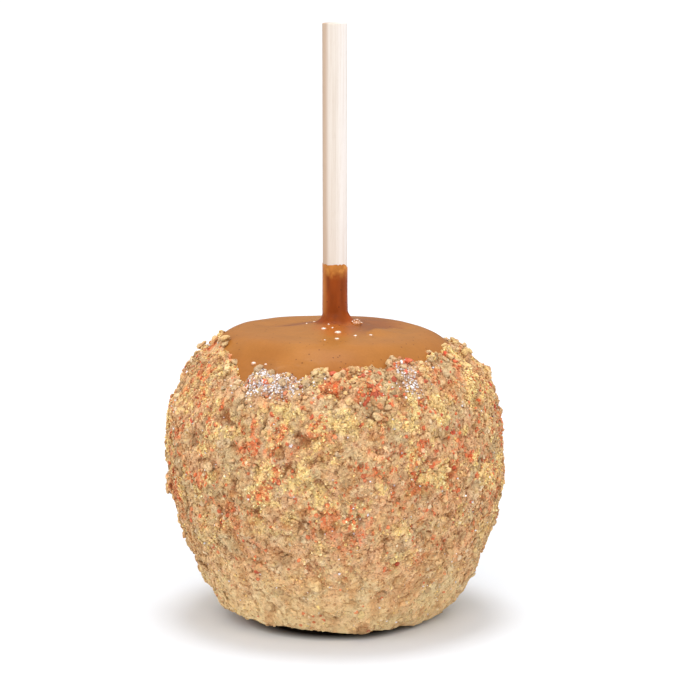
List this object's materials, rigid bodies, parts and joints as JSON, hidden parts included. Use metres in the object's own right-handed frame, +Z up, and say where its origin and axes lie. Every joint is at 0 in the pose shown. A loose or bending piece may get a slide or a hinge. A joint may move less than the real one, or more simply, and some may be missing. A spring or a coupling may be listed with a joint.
{
  "type": "caramel apple",
  "caption": "Whole apple on a wooden stick, dipped in caramel, its sides and underside rolled in biscuit crumbs with coloured bits; stands upright on a small flat spot.",
  "frame": {"origin": "middle of the flat spot the apple stands on, on the stick's axis", "axes": "+Z up along the stick, -Y towards the viewer's side, +X to the viewer's right"},
  "size_m": [0.0887, 0.0878, 0.1527],
  "materials": {
    "caramel": "glossy",
    "crumb": "matte, grainy",
    "wood": "plain sanded"
  },
  "bodies": {
    "root": {"caramel_apple": "caramel", "crumb_coat": "crumb", "stick": "wood"}
  },
  "joints": []
}
